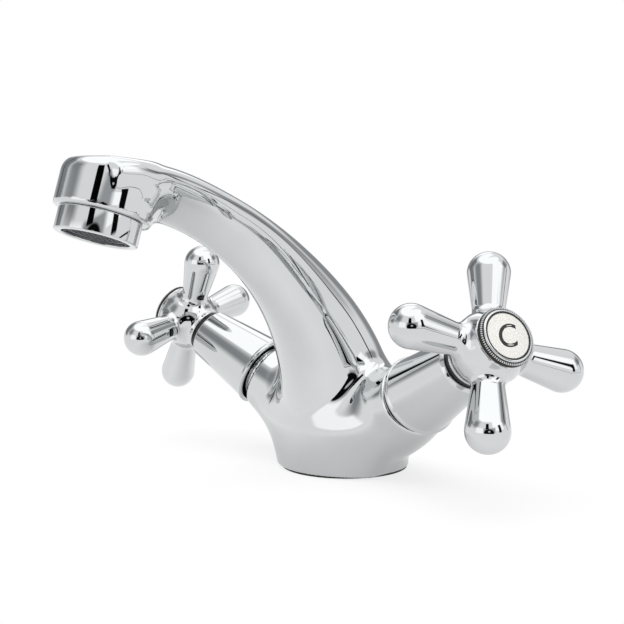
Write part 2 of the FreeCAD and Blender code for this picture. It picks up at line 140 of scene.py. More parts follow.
# EPDM rubber, punched sheet: near black with a dull surface and a fine grain of about 0.3 mm.
rubber, tree, shader, place = finish_tree("epdm_rubber_sheet")
grain = grained(tree, shader, place, 0.3, 3.0, "#0B0B0C", "#1A1A1B")
relief = add_node(tree, "ShaderNodeBump", sockets={"Height": grain, "Strength": 0.3, "Distance": 0.00005})
tree.links.new(relief.outputs["Normal"], shader.inputs["Normal"])
shader.inputs["Roughness"].default_value = 0.55
shader.inputs["IOR"].default_value = 1.52

GASKET_INNER, GASKET_OUTER, GASKET_THICK = 19.6, 24.6, 0.68
gasket = lathed("base_gasket_ring", [
    (GASKET_INNER, 0.0), (GASKET_OUTER, 0.0), (GASKET_OUTER, GASKET_THICK), (GASKET_INNER, GASKET_THICK)],
    rubber, bevel=0.2)
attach(gasket, "tap")
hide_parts("base_gasket")


# ---------------------------------------------------------------- tap casting
# One hollow brass casting: base, two raised arms for the valves, swan spout and the
# round head for the outlet. It is ground and polished as one skin, so its forms run
# into each other in fillets, and then nickel and chrome plated.

# The spout's middle line: distance to the front, height and radius in millimetres.
SPOUT_LINE = np.array([
    (0.0, -12.0, 25.4), (0.0, -6.0, 25.4), (0.0, 0.0, 25.3), (0.2, 5.0, 25.0), (1.2, 16.0, 24.1),
    (3.2, 27.0, 22.8), (6.6, 38.0, 21.2), (10.4, 47.3, 19.6), (16.5, 57.3, 17.3), (23.9, 66.4, 15.2),
    (32.1, 74.5, 13.7), (40.8, 81.6, 12.3), (50.8, 88.7, 11.1), (61.3, 94.9, 10.1), (68.9, 98.4, 9.6),
    (76.9, 101.2, 9.3), (87.0, 103.9, 9.1), (96.0, 105.4, 9.1), (104.0, 105.9, 9.2), (111.3, 106.0, 9.3)])
# Between the first two distances to the front the neck widens to its half width at the head and gets
# squarer. At the third it ends, inside the head.
NECK_FROM, NECK_WIDE, NECK_END = 62.0, 104.0, 113.0
NECK_HALF_WIDTH, NECK_SQUARER = 14.5, 0.4
# Further to the front the spout gets wider above its middle line, and narrower below it, by this share.
FULLER_ABOVE, FULLER_FROM, FULLER_WHOLLY = 0.45, 20.0, 60.0
# Half the width of the flat ellipse that the crown of neck and head share.
CROWN_HALF_WIDTH = 34.0

# The head: the middle of its mouth, its lean, its radius, and where its foot and the casting's top lie.
MOUTH, HEAD_LEAN = np.array([0.0, -111.3, 89.5]), math.radians(16.5)
HEAD_RADIUS, HEAD_FOOT, TOP = 15.6, 7.8, 115.5
THREAD_RADIUS, THREAD_END = 11.9, 14.2
CHAMBER_RADIUS, CHAMBER_END = 10.4, 20.0

# The arms: where their axes meet, how these rise and lean to the front, and radii and ends along them.
SIDES = ((1, "cold"), (-1, "hot"))
ARMS_MEET, ARM_RISE, ARM_LEAN = np.array([0.0, 7.0, 9.6]), math.radians(27.5), math.radians(15.0)
ARM_START, ARM_RADIUS, ARM_END = 4.0, 16.5, 48.1
DRAWN_FROM, DRAWN_OVER, DRAWN_IN = 26.0, 22.5, 2.6
STUB_RADIUS, STUB_END = 11.9, 56.0
VALVE_BORE, VALVE_SEAT = 10.5, 36.0

# The underside: the rim over the gasket, the foot inside it, the inlets and the stud hole.
RIM_HEIGHT, FOOT_RADIUS, FOOT_TOP = 0.66, 19.4, 3.0
INLET_X, INLET_Y, INLET_RADIUS, INLET_DEPTH = 12.0, 3.79, 4.5, 18.0
STUD_Y, STUD_RADIUS, STUD_DEPTH = -12.0, 3.4, 13.0

# Fillets between spout and arms: the least, and what is added low at the front and in the saddle,
# each with the places between which it grows.
ROOT_FILLET, FRONT_FILLET, SADDLE_FILLET = 4.5, 16.0, 6.0
FRONT_Y, FRONT_Z, SADDLE_Z = (2.0, -16.0), (38.0, 16.0), (26.0, 44.0)
# Fillets between neck and head: the least, and what is added under the neck, which grows with the
# depth below the crown and with the distance behind the head.
CHEEK_FILLET, UNDER_NECK_FILLET = 1.4, 7.0
BELOW_CROWN, BEHIND_HEAD = (-1.5, -8.0), (105.0, 97.0)

steps_along = np.hypot(*np.diff(SPOUT_LINE[:, :2], axis=0).T)
run = np.concatenate([[0.0], np.cumsum(steps_along)])
fit = np.polynomial.Polynomial.fit
front_of, height_of, radius_of = (fit(run, SPOUT_LINE[:, column], 7) for column in range(3))
front_slope, height_slope = front_of.deriv(), height_of.deriv()
front_bend, height_bend = front_slope.deriv(), height_slope.deriv()


def unit(vector):
    """Give a vector the length 1."""
    return np.array(vector, float) / np.linalg.norm(vector)


def handle_place(side, turn=0.0):
    """Origin and axes of one handle: Z out along its axis, X upright, turned by a few degrees."""
    level = math.cos(ARM_RISE)
    out = np.array([side * level * math.cos(ARM_LEAN), -level * math.sin(ARM_LEAN), math.sin(ARM_RISE)])
    upright = unit(np.array([0.0, 0.0, 1.0]) - out[2] * out)
    across = np.cross(out, upright)
    angle = math.radians(turn)
    x = math.cos(angle) * upright + math.sin(angle) * across
    return ARMS_MEET, x, np.cross(out, x), out


def outlet_place():
    """Origin and axes of the outlet: Z up the head's axis, from the middle of the mouth."""
    up = np.array([0.0, math.sin(HEAD_LEAN), math.cos(HEAD_LEAN)])
    return MOUTH, np.array([1.0, 0.0, 0.0]), np.cross(up, [1.0, 0.0, 0.0]), up


def local(points, place):
    """Radius and height of points about the Z axis of a place."""
    origin, _, _, z = place
    offset = points - origin
    height = offset @ z
    return np.sqrt(np.maximum((offset ** 2).sum(1) - height ** 2, 0)), height


def joined(a, b, fillet):
    """Union of two forms with a fillet between them."""
    share = np.clip(0.5 + 0.5 * (b - a) / fillet, 0, 1)
    return b * (1 - share) + a * share - fillet * share * (1 - share)


def kept(a, b, bevel):
    """What two forms have in common, with its edge rounded."""
    return -joined(-a, -b, bevel)


def drilled(body, radius, bore, beyond):
    """A form less a bore, from the distance to the bore's axis and the distance beyond its end."""
    return np.maximum(body, -np.maximum(radius - bore, beyond))


def ramp(value, start, end):
    """A soft step from 0 at start to 1 at end."""
    share = np.clip((value - start) / (end - start), 0, 1)
    return share * share * (3 - 2 * share)


def spout(points):
    """Distance to the spout's skin, and how far a point lies above the spout's crown."""
    front, height = -points[:, 1], points[:, 2]
    at = np.linspace(0, run[-1], 45)
    line = np.stack([front_of(at), height_of(at)])
    along = at[((front[:, None] - line[0]) ** 2 + (height[:, None] - line[1]) ** 2).argmin(1)]
    for _ in range(4):
        df, dh = front - front_of(along), height - height_of(along)
        sf, sh = front_slope(along), height_slope(along)
        pull = df * sf + dh * sh
        stiff = sf ** 2 + sh ** 2 - df * front_bend(along) - dh * height_bend(along)
        along = np.clip(along + pull / np.maximum(stiff, 0.25), 0, run[-1])
    df, dh = front - front_of(along), height - height_of(along)
    tall = radius_of(along)
    spread = ramp(front_of(along), NECK_FROM, NECK_WIDE)
    wide = tall + (NECK_HALF_WIDTH - tall) * spread
    rise = dh * front_slope(along) - df * height_slope(along)
    full = 1 + FULLER_ABOVE * ramp(front_of(along), FULLER_FROM, FULLER_WHOLLY) * np.clip(rise / tall, -1, 1)
    square = 2 + NECK_SQUARER * spread
    side, off = np.abs(points[:, 0]) * tall / wide / full, np.hypot(df, dh)
    skin = (side ** square + off ** square) ** (1 / square) - tall
    crown = np.hypot(points[:, 0] * tall / CROWN_HALF_WIDTH, rise) - tall
    return kept(skin, front - NECK_END, 2.0), np.where(rise > 0, crown, -tall)


def arm(points, side):
    """Distance to one raised arm: full at its root, drawn in at its end, with a short stub."""
    radius, height = local(points, handle_place(side))
    drawn = np.clip((height - DRAWN_FROM) / DRAWN_OVER, 0, 1)
    body = kept(radius - ARM_RADIUS + DRAWN_IN * drawn ** 2.4, height - ARM_END, 1.4)
    stub = kept(radius - STUB_RADIUS, height - STUB_END, 0.6)
    return np.minimum(kept(body, ARM_START - height, 3.0), kept(stub, ARM_START - height, 3.0))


def casting(points):
    """Distance to the skin of the whole casting."""
    body, above = spout(points)
    low_front = ramp(points[:, 1], *FRONT_Y) * ramp(points[:, 2], *FRONT_Z)
    saddle = ramp(points[:, 2], *SADDLE_Z)
    arms = joined(arm(points, 1), arm(points, -1), 2.0)
    body = joined(body, arms, ROOT_FILLET + FRONT_FILLET * low_front + SADDLE_FILLET * saddle)
    radius, height = local(points, outlet_place())
    head = kept(kept(radius - HEAD_RADIUS, HEAD_FOOT - height, 1.3), above, 4.0)
    under = ramp(above, *BELOW_CROWN) * ramp(-points[:, 1], *BEHIND_HEAD)
    body = joined(body, head, CHEEK_FILLET + UNDER_NECK_FILLET * under)
    body = kept(body, points[:, 2] - TOP, 0.5)
    body = drilled(body, radius, THREAD_RADIUS, height - THREAD_END)
    body = drilled(body, radius, CHAMBER_RADIUS, height - CHAMBER_END)
    for side, _ in SIDES:
        radius, height = local(points, handle_place(side))
        body = drilled(body, radius, VALVE_BORE, VALVE_SEAT - height)
    inlets = np.hypot(np.abs(points[:, 0]) - INLET_X, points[:, 1] - INLET_Y)
    stud = np.hypot(points[:, 0], points[:, 1] - STUD_Y)
    body = drilled(body, inlets, INLET_RADIUS, points[:, 2] - INLET_DEPTH)
    body = drilled(body, stud, STUD_RADIUS, points[:, 2] - STUD_DEPTH)
    body = kept(body, RIM_HEIGHT - points[:, 2], 0.9)
    from_middle = np.hypot(points[:, 0], points[:, 1])
    foot = np.maximum(np.maximum(from_middle - FOOT_RADIUS, -points[:, 2]), points[:, 2] - FOOT_TOP)
    foot = np.maximum(foot, -np.minimum(stud - STUD_RADIUS, inlets - INLET_RADIUS))
    return np.minimum(body, foot)


def sampled(form, low, cell, counts, block):
    """Distances to a form's skin on a grid, taken for whole blocks where the skin is far."""
    lines = [a + cell * np.arange(n) for a, n in zip(low, counts)]
    rough_lines = [line[::block] + cell * (block - 1) / 2 for line in lines]
    rough_points = np.stack(np.meshgrid(*rough_lines, indexing="ij"), -1)
    rough = form(rough_points.reshape(-1, 3)).reshape(rough_points.shape[:3])
    value = rough.repeat(block, 0).repeat(block, 1).repeat(block, 2)
    near = np.argwhere(np.abs(value) < cell * block * 1.3)
    value[tuple(near.T)] = form(np.array(low) + cell * near)
    return value


def middles(value, cells, corners):
    """The mean place, in cells of a grid, of the points where their edges cross the skin."""
    total, hits = np.zeros((len(cells), 3)), np.zeros(len(cells))
    for first in corners:
        for axis in range(3):
            if first[axis]:
                continue
            second = tuple(c + (k == axis) for k, c in enumerate(first))
            a = value[tuple((cells + first).T)]
            b = value[tuple((cells + second).T)]
            cross = (a < 0) != (b < 0)
            share = np.where(cross, a / np.where(cross, a - b, 1.0), 0.0)
            spot = np.array(first, float) + share[:, None] * (np.array(second) - np.array(first))
            total[cross] += spot[cross]
            hits += cross
    return total / hits[:, None]


def quads(inside, number):
    """Faces that join the numbered cells round each edge that crosses the skin, facing out."""
    faces = []
    for axis in range(3):
        b, c = (axis + 1) % 3, (axis + 2) % 3
        span = [slice(None)] * 3
        span[axis] = slice(0, -1)
        ahead = [slice(None)] * 3
        ahead[axis] = slice(1, None)
        spots = np.argwhere(inside[tuple(span)] != inside[tuple(ahead)])
        good = (spots[:, b] > 0) & (spots[:, c] > 0) & (spots < np.array(number.shape)).all(1)
        spots = spots[good]
        step_b, step_c = np.eye(3, dtype=int)[b], np.eye(3, dtype=int)[c]
        quad = np.stack([number[tuple(s.T)] for s in (
            spots, spots - step_b, spots - step_b - step_c, spots - step_c)], 1)
        flip = ~inside[tuple(spots.T)]
        quad[flip] = quad[flip][:, ::-1]
        faces.append(quad[(quad >= 0).all(1)])
    return np.concatenate(faces)


def slopes(form, points):
    """How steeply a form's distance grows along X, Y and Z at points."""
    step = 0.02
    return np.stack([form(points + step * e) - form(points - step * e) for e in np.eye(3)], 1) / (2 * step)


def skinned(name, form, low, high, cell, material, place=None):
    """Mesh the surface where form(points) is 0, with the form's own smooth normals."""
    block = 4
    counts = [int(math.ceil((b - a) / cell / block)) * block for a, b in zip(low, high)]
    value = sampled(form, low, cell, counts, block)
    inside = value < 0
    corners = [(i, j, k) for i in (0, 1) for j in (0, 1) for k in (0, 1)]
    sizes = [n - 1 for n in counts]
    filled = sum(inside[i:i + sizes[0], j:j + sizes[1], k:k + sizes[2]].astype(int) for i, j, k in corners)
    cells = np.argwhere((filled > 0) & (filled < 8))
    number = np.full(sizes, -1)
    number[tuple(cells.T)] = np.arange(len(cells))
    points = np.array(low) + cell * (cells + middles(value, cells, corners))
    for _ in range(4):
        slope = slopes(form, points)
        steep = np.maximum((slope ** 2).sum(1), 0.3)
        move = -form(points)[:, None] * slope / steep[:, None]
        longest = np.linalg.norm(move, axis=1, keepdims=True)
        points = points + move * np.minimum(1, 0.6 * cell / np.maximum(longest, 1e-9))
    slope = slopes(form, points)
    normals = slope / np.maximum(np.linalg.norm(slope, axis=1, keepdims=True), 1e-9)
    thing = piece(name, points, quads(inside, number).tolist(), material, place)
    if place is not None:
        _, x, y, z = place
        normals = normals[:, :1] * x + normals[:, 1:2] * y + normals[:, 2:3] * z
    thing.data.normals_split_custom_set_from_vertices(normals.tolist())
    return thing


def polished(tree, shader, place, haze, wave, strength, depth):
    """Make a finish a metal mirror that a haze dulls in places, with waves in millimetres."""
    waves = add_node(tree, "ShaderNodeTexNoise", sockets={
        "Vector": place, "Scale": 1000 / wave, "Detail": 1.0})
    dull = add_node(tree, "ShaderNodeMapRange", sockets={
        "Value": haze, "From Min": 0.35, "From Max": 0.75, "To Min": 0.015, "To Max": 0.045})
    relief = add_node(tree, "ShaderNodeBump", sockets={
        "Height": waves.outputs["Fac"], "Strength": strength, "Distance": depth / 1000})
    tree.links.new(dull.outputs["Result"], shader.inputs["Roughness"])
    tree.links.new(relief.outputs["Normal"], shader.inputs["Normal"])
    shader.inputs["Metallic"].default_value = 1.0


# Bright chrome on polished brass: a mirror with a cool grey tint. Polishing by hand leaves
# faint waves about 9 mm long, and water and wiping leave a haze of slightly duller patches.
cast_chrome, tree, shader, place = finish_tree("bright_chrome_on_polished_casting")
haze = grained(tree, shader, place, 22.0, 5.0, "#D7D9DA", "#CCCECF")
polished(tree, shader, place, haze, 9.0, 0.25, 0.1)

CASTING_LOW, CASTING_HIGH = (-53, -132, -3), (53, 34, 118)
CASTING_CELL = 0.9
tap = skinned("tap_casting", casting, CASTING_LOW, CASTING_HIGH, CASTING_CELL, cast_chrome)
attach(tap, "tap")
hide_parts("tap_body")


# ---------------------------------------------------------------- outlet ring
# Turned brass ring that screws into the head and holds the outlet insert. Chrome plated
# after turning, with a small bevel at the rim and a step inside that carries the insert.

# Chrome on turned brass: a mirror with shallower waves, about 6 mm long, and a haze of duller patches.
turned_chrome, tree, shader, place = finish_tree("bright_chrome_on_turned_brass")
haze = add_node(tree, "ShaderNodeTexNoise", sockets={"Vector": place, "Scale": 1000 / 15.0, "Detail": 5.0})
shader.inputs["Base Color"].default_value = linear("#D0D2D3")
polished(tree, shader, place, haze.outputs["Fac"], 6.0, 0.15, 0.05)

ring = lathed("outlet_ring", [
    (11.0, 0.0), (13.5, 0.0), (13.5, 7.8), (11.85, 7.8), (11.85, 14.0), (10.95, 14.0),
    (10.95, 2.0), (10.9, 1.9), (11.0, 1.2)], turned_chrome, outlet_place(), bevel=0.55)
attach(ring, "tap")
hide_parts("aerator_ring")


# -------------------------------------------------------------- outlet insert
# The insert that mixes air into the water: a moulded acetal cup with jet holes behind a
# woven screen of stainless wire, which is what shows in the mouth. A rubber washer seals it.

def refinish(node, material):
    """Give a solid of the frame its finish."""
    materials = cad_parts[node].data.materials
    materials.clear()
    materials.append(material)


# Stainless wire, drawn and woven, with a soft shine: its grey runs down to near black as painted shade of
# the outlet's mouth, and differs from wire to wire.
wire_steel_painted_shade, tree, shader, place = finish_tree("stainless_wire_painted_shade")
grained(tree, shader, place, 2.0, 2.0, "#232425", "#75777A")
shader.inputs["Metallic"].default_value = 1.0
shader.inputs["Roughness"].default_value = 0.28

# Moulded acetal, dark grey: satin, with a faint flow mottle of about 1.5 mm.
acetal, tree, shader, place = finish_tree("moulded_acetal_grey")
grained(tree, shader, place, 1.5, 3.0, "#17181A", "#26282A")
shader.inputs["Roughness"].default_value = 0.42
shader.inputs["IOR"].default_value = 1.48

refinish("aerator_insert", acetal)
refinish("aerator_washer", rubber)

# Screen wires of 0.4 mm, 1.25 mm apart, woven over and under: about twice as coarse as real ones.
PITCH, WIRE_RADIUS, WEAVE, SCREEN_RADIUS, SCREEN_HEIGHT, WIRE_SIDES = 1.25, 0.2, 0.18, 8.9, 1.5, 6
vertices, faces = [], []
for lane in range(-7, 8):
    for way in (0, 1):
        offset = lane * PITCH
        half = math.sqrt(SCREEN_RADIUS ** 2 - offset ** 2)
        count = max(int(2 * half / (PITCH / 4)), 3)
        first = len(vertices)
        over = 1 if (lane + way) % 2 else -1
        for at in range(count + 1):
            along = -half + 2 * half * at / count
            rise = SCREEN_HEIGHT + over * WEAVE * math.cos(math.pi * along / PITCH)
            for corner in range(WIRE_SIDES):
                turn = corner * 2 * math.pi / WIRE_SIDES
                side = offset + WIRE_RADIUS * math.cos(turn)
                spot = (along, side) if way == 0 else (side, along)
                vertices.append((spot[0], spot[1], rise + WIRE_RADIUS * math.sin(turn)))
        for at in range(count):
            for corner in range(WIRE_SIDES):
                a = first + at * WIRE_SIDES + corner
                b = first + at * WIRE_SIDES + (corner + 1) % WIRE_SIDES
                faces.append((a, b, b + WIRE_SIDES, a + WIRE_SIDES))
# The wires' dark colour is painted shade of the mouth.
screen = piece("outlet_screen", vertices, faces, wire_steel_painted_shade, outlet_place())
rim = lathed("outlet_insert_rim", [(8.7, 1.15), (9.3, 1.15), (9.3, 1.95), (8.7, 1.95)],
             wire_steel_painted_shade, outlet_place(), bevel=0.2)
# Painted shade: a dark acetal ring between the screen's rim and the outlet ring, where the mouth's wall lies
# in shadow, shows as a black band.
painted_shade_ring = lathed("outlet_painted_shade_ring", [(9.32, 1.5), (10.9, 1.5), (10.9, 1.9), (9.32, 1.9)],
              acetal, outlet_place(), bevel=0.05)
for thing in (screen, rim, painted_shade_ring):
    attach(thing, "tap")


# -------------------------------------------------------------- valve inserts
# Quarter turn valves, hidden in the arms and covers: a turned brass barrel with a hexagon on a
# fibre washer, two alumina discs, rubber seals, a brass spindle and its spring steel clip.

# Pressed fibre: brown and dull, with a mottle of 0.8 mm.
fibre, tree, shader, place = finish_tree("pressed_fibre")
grained(tree, shader, place, 0.8, 4.0, "#7A4A35", "#A26A4E")
shader.inputs["Roughness"].default_value = 0.8

# Free cutting brass, turned: yellow metal with fine tool marks of about 0.4 mm.
brass, tree, shader, place = finish_tree("turned_brass")
marks = grained(tree, shader, place, 0.4, 3.0, "#C9A24B", "#DDBB6A")
relief = add_node(tree, "ShaderNodeBump", sockets={"Height": marks, "Strength": 0.3, "Distance": 0.00003})
tree.links.new(relief.outputs["Normal"], shader.inputs["Normal"])
shader.inputs["Metallic"].default_value = 1.0
shader.inputs["Roughness"].default_value = 0.3

# Alumina ceramic, sintered and lapped: white, close to matt, with a faint speckle of 0.5 mm.
ceramic, tree, shader, place = finish_tree("lapped_alumina")
grained(tree, shader, place, 0.5, 2.0, "#E4E2DC", "#F1EFEA")
shader.inputs["Roughness"].default_value = 0.35
shader.inputs["IOR"].default_value = 1.76

# Spring steel: grey metal, with soft clouds of about 3 mm.
spring_steel, tree, shader, place = finish_tree("spring_steel")
grained(tree, shader, place, 3.0, 2.0, "#5C5E63", "#85878C")
shader.inputs["Metallic"].default_value = 1.0
shader.inputs["Roughness"].default_value = 0.35

for _, word in SIDES:
    for part, material in (("valve_washer", fibre), ("valve_body", brass), ("seat_seal", rubber),
                           ("fixed_disc", ceramic), ("moving_disc", ceramic), ("spindle", brass),
                           ("spindle_seal", rubber), ("spindle_clip", spring_steel)):
        refinish(word + "_" + part, material)


# --------------------------------------------------------------------- covers
# Conical covers, spun and turned from brass tube and chrome plated. The wide end has a rolled
# bead and stands open round the arm's stub, and the narrow end has a bevel at the slide ring.

def lined(thing, place, material, chosen):
    """Put a second finish on the faces that chosen(radius, height, outward) picks."""
    thing.data.materials.append(material)
    origin, _, _, out = place
    for face in thing.data.polygons:
        offset = np.array(face.center) * 1000 - origin
        height = offset @ out
        across = offset - height * out
        if chosen(np.linalg.norm(across), height, np.array(face.normal) @ unit(across)):
            face.material_index = 1


# Bare brass that the plating doesn't reach, dull, and darkened almost to black as painted shade, with
# blotches of 2 mm. On the index rings it is painted shade alone.
dark_painted_shade, tree, shader, place = finish_tree("dull_dark_painted_shade")
grained(tree, shader, place, 2.0, 3.0, "#17140F", "#2A251D")
shader.inputs["Roughness"].default_value = 0.75

# The bead round the wide end, and then the cone, the narrow end and the hole in it.
COVER_LINE = [
    (13.1, 52.2), (13.0, 51.3), (13.3, 50.6), (13.9, 50.3), (14.6, 50.6), (14.9, 51.3), (14.6, 52.0),
    (14.2, 52.4), (10.65, 82.2), (9.7, 83.3), (8.6, 83.3), (8.6, 77.6), (9.7, 77.6)]
PLATED_TO = 51.6

for side, word in SIDES:
    cover = lathed(word + "_cone_cover", COVER_LINE, turned_chrome, handle_place(side), bevel=0.25)
    # Painted shade: the faces inside the cover get the dull, near black finish.
    lined(cover, handle_place(side), dark_painted_shade,
          lambda radius, height, outward: outward < -0.2 and height > PLATED_TO)
    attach(cover, "tap")
    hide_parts(word + "_cover")


# ---------------------------------------------------------------- slide rings
# Black acetal rings between cover and handle, which the handle turns on. They are moulded
# and pushed into the narrow end of the cover.

# Black acetal, moulded: smooth and satin, so the joint shows as a dark band.
black_acetal, tree, shader, place = finish_tree("black_acetal")
grained(tree, shader, place, 1.0, 3.0, "#060607", "#0F0F10")
shader.inputs["Roughness"].default_value = 0.38
shader.inputs["IOR"].default_value = 1.48

SLIDE_LINE = [(6.95, 81.6), (8.45, 81.6), (8.45, 83.4), (9.1, 83.4), (9.1, 84.95), (6.95, 84.95)]
for side, word in SIDES:
    slide = lathed(word + "_slide_bush", SLIDE_LINE, black_acetal, handle_place(side), bevel=0.25)
    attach(slide, "tap")
    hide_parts(word + "_slide_ring")


# -------------------------------------------------------------- cross handles
# Cross handles, cast in brass with hub and four drop shaped arms in one, polished and
# chrome plated. Small fillets join the arms to the round hub, and the hub flares to the
# face that carries the index ring.

# Turns of the closed handles about their axes, in degrees from upright.
CLOSED_TURN = {"cold": -19.0, "hot": -14.7}
# Heights are along the spindle, from where the arms' axes meet.
HUB_MIDDLE, HUB_RADIUS, HUB_BACK, HUB_FACE = 95.5, 12.6, 85.1, 104.3
COLLAR_RADIUS, FLARE_RADIUS, FLARE_FROM, FLARE_SLOPE = 9.4, 12.3, 97.5, 0.31
BULB_REACH, BULB_RADIUS, DROP_TAPER = 28.7, 7.4, math.radians(7.4)
ARM_FILLET = 2.6
# The collar's recess and the bores for spindle, screw and index ring: radius, start and end.
HUB_BORES = ((7.2, 80.0, 87.3), (4.05, 80.0, 97.0), (2.05, 90.0, 99.0), (6.95, 98.8, 110.0))


def cross(points):
    """Distance to the skin of a cross handle, in its own axes with Z out along the spindle."""
    radius, height = np.hypot(points[:, 0], points[:, 1]), points[:, 2]
    ball = np.hypot(radius, height - HUB_MIDDLE) - HUB_RADIUS
    hub = kept(kept(ball, HUB_BACK - height, 0.8), height - HUB_FACE, 0.6)
    collar = kept(kept(radius - COLLAR_RADIUS, HUB_BACK - height, 0.6), height - HUB_MIDDLE, 0.6)
    cone = radius - FLARE_RADIUS + FLARE_SLOPE * (height - FLARE_FROM)
    flare = np.maximum(np.maximum(cone, FLARE_FROM - height), height - HUB_FACE)
    hub = joined(joined(hub, collar, 0.8), flare, 0.8)
    flat = np.abs(points[:, :2])
    far, near = flat.max(1), flat.min(1)
    across = np.hypot(near, height - HUB_MIDDLE)
    lean, level = math.sin(DROP_TAPER), math.cos(DROP_TAPER)
    drop = (across - BULB_RADIUS / level) * level - (far - BULB_REACH) * lean
    bulb = np.hypot(far - BULB_REACH, across) - BULB_RADIUS
    arms = np.where(far - BULB_REACH > -BULB_RADIUS * lean, bulb, np.maximum(drop, -far))
    whole = joined(hub, np.minimum(arms, bulb), ARM_FILLET)
    for bore, start, end in HUB_BORES:
        whole = drilled(whole, radius, bore, np.maximum(start - height, height - end))
    return whole


HANDLE_LOW, HANDLE_HIGH = (-37.5, -37.5, 81.5), (37.5, 37.5, 109.5)
HANDLE_CELL = 0.62
for side, word in SIDES:
    handle = skinned(word + "_cross_handle", cross, HANDLE_LOW, HANDLE_HIGH, HANDLE_CELL,
                     cast_chrome, handle_place(side, CLOSED_TURN[word]))
    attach(handle, word + "_handle_group")
    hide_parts(word + "_handle")
    refinish(word + "_handle_screw", wire_steel_painted_shade)


# ---------------------------------------------------------------- index rings
# Turned brass rings with a beaded edge rolled round the rim, chrome plated and pressed
# into the hub's face. They frame the index plate.

RING_LINE = [
    (5.7, 100.8), (6.85, 100.8), (6.85, 104.4), (9.9, 104.4), (10.12, 104.9), (10.12, 106.1),
    (9.95, 106.3), (9.2, 106.35), (9.15, 106.75), (8.85, 107.2), (8.4, 107.3), (8.35, 106.9),
    (8.35, 105.95), (5.7, 105.95)]
# The beads: how many, how far out, how high, their half width along the rim and their radius across it.
BEADS, BEAD_REACH, BEAD_HEIGHT, BEAD_HALF_WIDTH, BEAD_RADIUS = 84, 9.56, 106.32, 0.31, 0.5
ROWS, COLUMNS = 6, 10


def bead_ring():
    """Points and faces of the ring of beads."""
    vertices, faces = [], []
    for bead in range(BEADS):
        angle = 2 * math.pi * (bead + 0.5) / BEADS
        outward = np.array([math.cos(angle), math.sin(angle), 0.0])
        along = np.array([-math.sin(angle), math.cos(angle), 0.0])
        up = np.array([0.0, 0.0, 1.0])
        first = len(vertices)
        for row in range(ROWS + 1):
            tilt = -math.pi / 2 + math.pi * row / ROWS
            for column in range(COLUMNS):
                spin = 2 * math.pi * column / COLUMNS
                vertices.append(BEAD_REACH * outward + BEAD_HEIGHT * up
                                + BEAD_HALF_WIDTH * math.cos(tilt) * math.cos(spin) * along
                                + BEAD_RADIUS * math.cos(tilt) * math.sin(spin) * outward
                                + BEAD_RADIUS * math.sin(tilt) * up)
        for row in range(ROWS):
            for column in range(COLUMNS):
                after = (column + 1) % COLUMNS
                a, b = first + row * COLUMNS, first + (row + 1) * COLUMNS
                faces.append((a + column, b + column, b + after, a + after))
    return vertices, faces


for side, word in SIDES:
    place = handle_place(side, CLOSED_TURN[word])
    ring = lathed(word + "_index_ring_body", RING_LINE, turned_chrome, place, bevel=0.18)
    # Painted shade: the rim behind the beads is dark, so that the valleys between them show as shaded.
    lined(ring, place, dark_painted_shade,
          lambda radius, height, outward: radius > 9.0 and 105.0 < height < 106.9)
    vertices, faces = bead_ring()
    beading = piece(word + "_index_beading", vertices, faces, turned_chrome, place)
    for thing in (ring, beading):
        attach(thing, word + "_handle_group")
    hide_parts(word + "_index_ring")
    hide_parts(word + "_index_ring")


# --------------------------------------------------------------- index plates
# Moulded plates, slightly crowned, pressed into the index rings. Each has a printed
# black line near its edge and one printed letter for the water it runs.

# White acrylic, moulded: warm off-white under a clear gloss, with a very faint cloudiness.
acrylic, tree, shader, place = finish_tree("white_acrylic_moulded")
grained(tree, shader, place, 6.0, 1.0, "#E3E2DD", "#E6E5E0")
shader.inputs["Roughness"].default_value = 0.12
shader.inputs["IOR"].default_value = 1.49

# Black printing ink, baked on: flat black with a soft edge of gloss.
ink, tree, shader, place = finish_tree("black_printing_ink")
grained(tree, shader, place, 0.4, 2.0, "#0A0A0B", "#151516")
shader.inputs["Roughness"].default_value = 0.4

# The plate's top falls by its crown from the middle to the crown's edge.
PLATE_TOP, PLATE_CROWN, CROWN_EDGE, PRINT_SINK = 107.25, 0.25, 8.0, 0.01
CROWN_LINE = [(r, PLATE_TOP - PLATE_CROWN * (r / CROWN_EDGE) ** 2) for r in (CROWN_EDGE, 6.0, 4.0, 2.0, 0.0)]
PLATE_LINE = [(0.0, 105.98), (8.28, 105.98), (8.28, 106.8)] + CROWN_LINE
PRINTED_LINE = [(7.72, 106.9), (8.26, 106.9), (8.26, 107.06), (7.72, 107.06)]
# The letter's size and how far its ink is raised and spreads, all in metres, and its slant.
LETTER_SIZE, INK_RAISED, INK_SPREAD, LETTER_SLANT = 0.0112, 0.00003, 0.00008, 0.2


def printed_letter(name, letter, place):
    """A letter in ink that follows the plate's crown, upright in its place."""
    text = bpy.data.curves.new(name, "FONT")
    text.body = letter
    text.size, text.shear = LETTER_SIZE, LETTER_SLANT
    text.align_x, text.align_y = "CENTER", "CENTER"
    text.extrude, text.offset = INK_RAISED, INK_SPREAD
    sign = bpy.data.objects.new(name, text)
    bpy.context.scene.collection.objects.link(sign)
    mesh = bpy.data.meshes.new_from_object(sign.evaluated_get(bpy.context.evaluated_depsgraph_get()))
    bpy.data.objects.remove(sign)
    spots = np.array([v.co for v in mesh.vertices], float) * 1000
    spots[:, :2] -= (spots[:, :2].max(0) + spots[:, :2].min(0)) / 2
    origin, up, _, out = place
    right = np.cross(up, out)
    crown = PLATE_CROWN * (spots[:, 0] ** 2 + spots[:, 1] ** 2) / CROWN_EDGE ** 2
    lift = PLATE_TOP - PRINT_SINK - crown + spots[:, 2]
    spots = origin + spots[:, :1] * right + spots[:, 1:2] * up + lift[:, None] * out
    mesh.vertices.foreach_set("co", (spots / 1000).ravel())
    mesh.materials.clear()
    mesh.materials.append(ink)
    mark = bpy.data.objects.new(name, mesh)
    bpy.context.scene.collection.objects.link(mark)
    return mark


